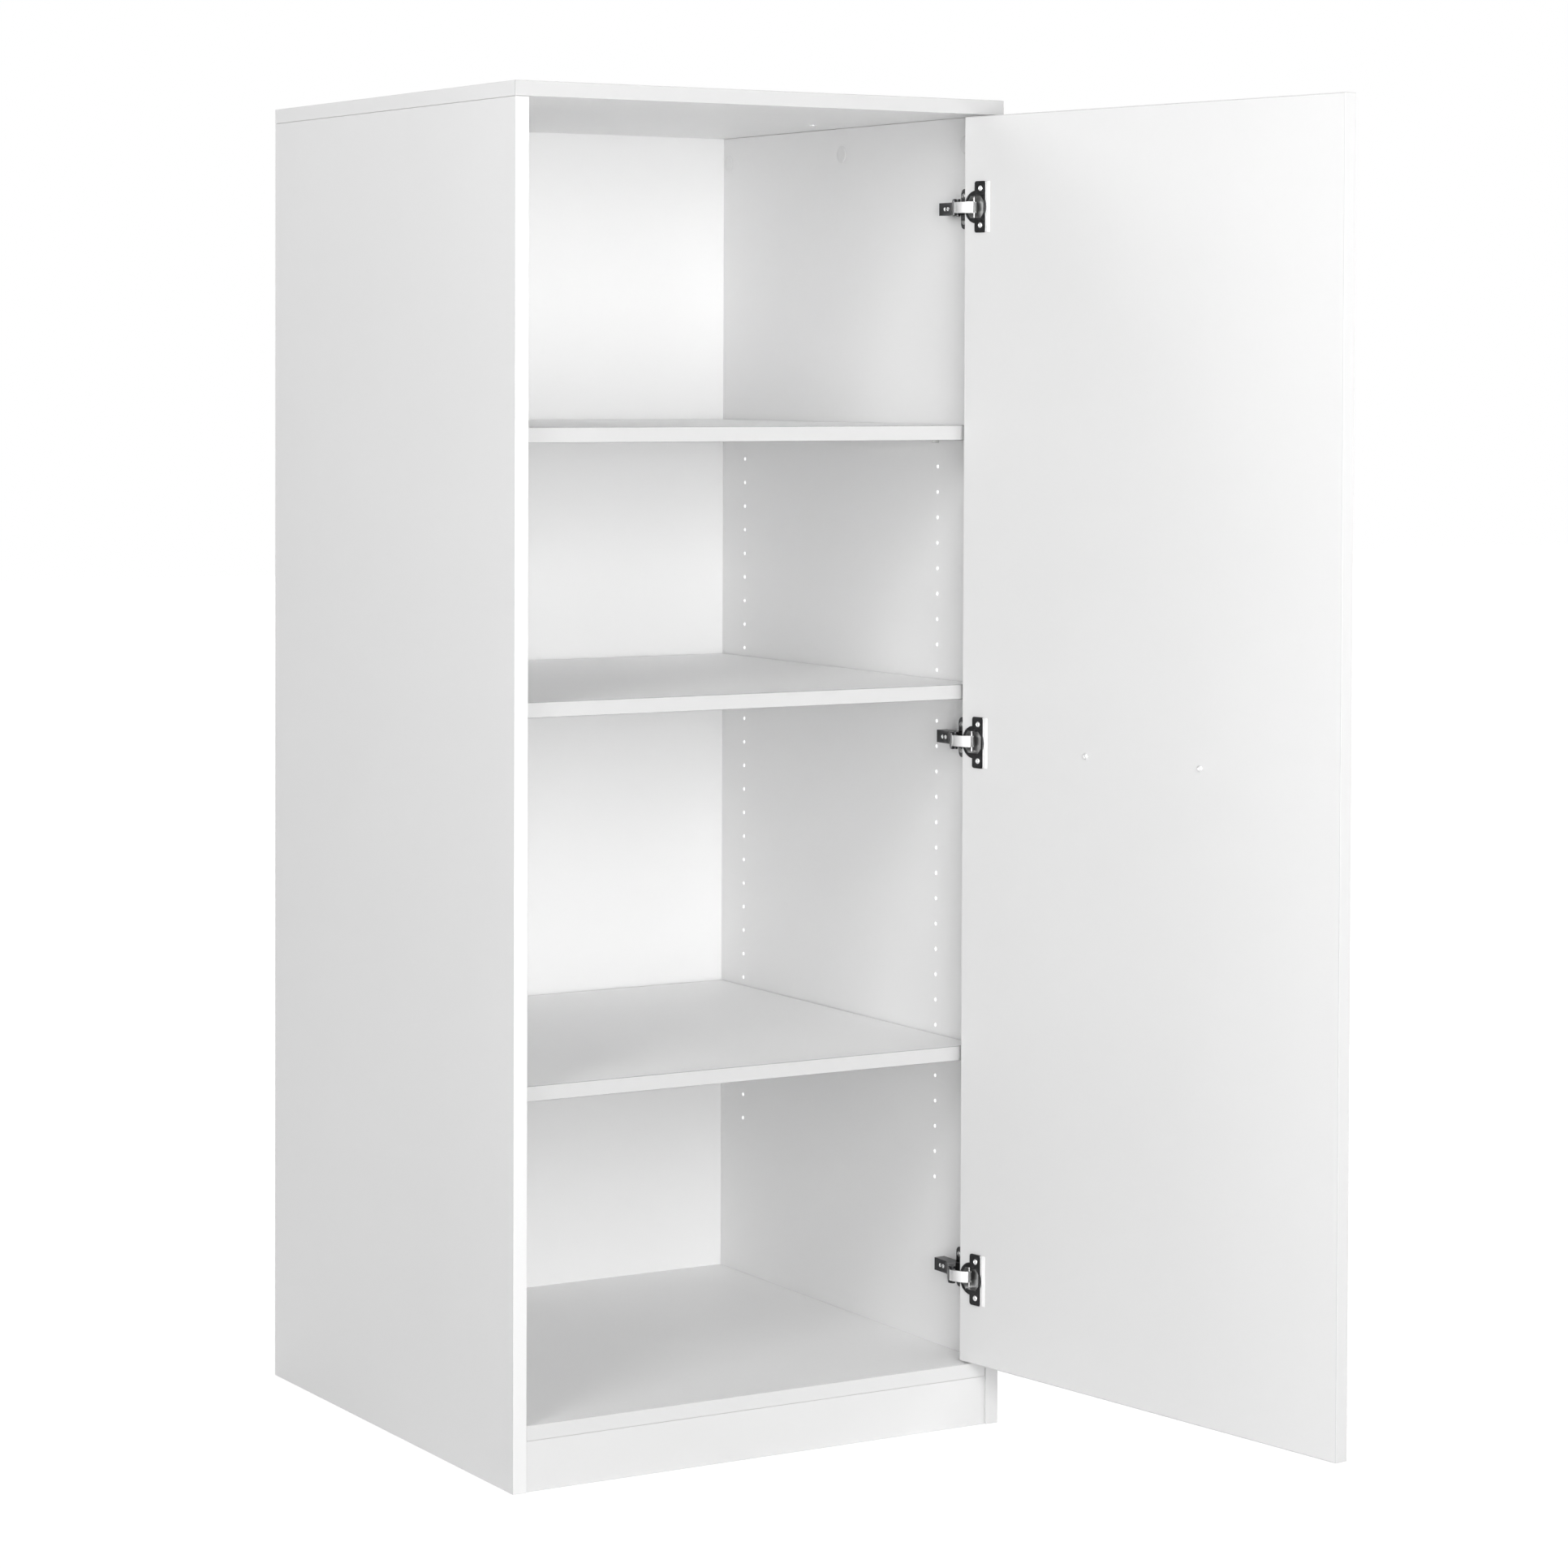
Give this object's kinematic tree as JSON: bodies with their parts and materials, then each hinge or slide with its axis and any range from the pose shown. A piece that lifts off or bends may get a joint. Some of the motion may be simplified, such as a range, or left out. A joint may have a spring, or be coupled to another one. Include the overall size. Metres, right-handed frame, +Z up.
{
  "type": "utility cabinet",
  "caption": "Tall white board cabinet with open compartments on fixed shelves and one inset door on concealed hinges, standing open.",
  "frame": {"origin": "centre of the plinth's foot, on the floor under the front of the cabinet", "axes": "+X to the right seen from the front, +Y from the front towards the back, +Z up"},
  "size_m": [0.7385, 1.2886, 1.638],
  "materials": {
    "melamine_board": "satin",
    "hardboard": "satin",
    "nickel_plated_steel": "polished",
    "nickel_plated_zinc": "satin",
    "bright_screw_steel": "polished",
    "brushed_steel": "brushed",
    "white_plastic": "matte"
  },
  "bodies": {
    "carcass": {"top_panel": "melamine_board", "bottom_panel": "melamine_board", "left_side": "melamine_board", "right_side": "melamine_board", "plinth": "melamine_board", "shelf_upper": "melamine_board", "shelf_middle": "melamine_board", "shelf_lower": "melamine_board", "back_panel": "hardboard", "shelf_pin_upper_left_front": "nickel_plated_steel", "shelf_pin_upper_left_rear": "nickel_plated_steel", "shelf_pin_upper_right_front": "nickel_plated_steel", "shelf_pin_upper_right_rear": "nickel_plated_steel", "shelf_pin_middle_left_front": "nickel_plated_steel", "shelf_pin_middle_left_rear": "nickel_plated_steel", "shelf_pin_middle_right_front": "nickel_plated_steel", "shelf_pin_middle_right_rear": "nickel_plated_steel", "shelf_pin_lower_left_front": "nickel_plated_steel", "shelf_pin_lower_left_rear": "nickel_plated_steel", "shelf_pin_lower_right_front": "nickel_plated_steel", "shelf_pin_lower_right_rear": "nickel_plated_steel", "cam_fitting_left_front": "white_plastic", "cam_fitting_left_centre": "white_plastic", "cam_fitting_left_rear": "white_plastic", "cam_fitting_right_front": "white_plastic", "cam_fitting_right_centre": "white_plastic", "cam_fitting_right_rear": "white_plastic", "mounting_plate_top": "nickel_plated_zinc", "hinge_arm_top": "nickel_plated_zinc", "plate_screw_top_upper": "bright_screw_steel", "plate_screw_top_lower": "bright_screw_steel", "mounting_plate_middle": "nickel_plated_zinc", "hinge_arm_middle": "nickel_plated_zinc", "plate_screw_middle_upper": "bright_screw_steel", "plate_screw_middle_lower": "bright_screw_steel", "mounting_plate_bottom": "nickel_plated_zinc", "hinge_arm_bottom": "nickel_plated_zinc", "plate_screw_bottom_upper": "bright_screw_steel", "plate_screw_bottom_lower": "bright_screw_steel"},
    "outer_links": {"outer_link_top": "nickel_plated_steel", "outer_link_middle": "nickel_plated_steel", "outer_link_bottom": "nickel_plated_steel"},
    "inner_links": {"inner_link_top": "nickel_plated_steel", "inner_link_middle": "nickel_plated_steel", "inner_link_bottom": "nickel_plated_steel"},
    "door": {"door": "melamine_board", "handle": "brushed_steel", "handle_screw_left": "bright_screw_steel", "handle_screw_right": "bright_screw_steel", "hinge_cup_top": "nickel_plated_zinc", "hinge_cup_middle": "nickel_plated_zinc", "hinge_cup_bottom": "nickel_plated_zinc", "cup_screw_top_upper": "bright_screw_steel", "cup_screw_top_lower": "bright_screw_steel", "cup_screw_middle_upper": "bright_screw_steel", "cup_screw_middle_lower": "bright_screw_steel", "cup_screw_bottom_upper": "bright_screw_steel", "cup_screw_bottom_lower": "bright_screw_steel"}
  },
  "joints": [
    {"name": "outer_link_turn", "type": "hinge", "parent": "carcass", "child": "outer_links", "pos_m": [0.2855, 0.013, 0], "axis": [0, 0, 1], "range_deg": [-0.5, 33]},
    {"name": "inner_link_turn", "type": "hinge", "parent": "carcass", "child": "inner_links", "pos_m": [0.2885, 0.0175, 0], "axis": [0, 0, 1], "range_deg": [-0.6, 36]},
    {"name": "door_swing", "type": "hinge", "parent": "outer_links", "child": "door", "pos_m": [0.29616, -0.00823, 0], "axis": [0, 0, 1], "range_deg": [-131.6, 2]}
  ],
  "couplings": [
    {"joint": "door_swing", "follows": "outer_link_turn", "ratio": -3.9879},
    {"joint": "inner_link_turn", "follows": "outer_link_turn", "ratio": 1.0879}
  ]
}
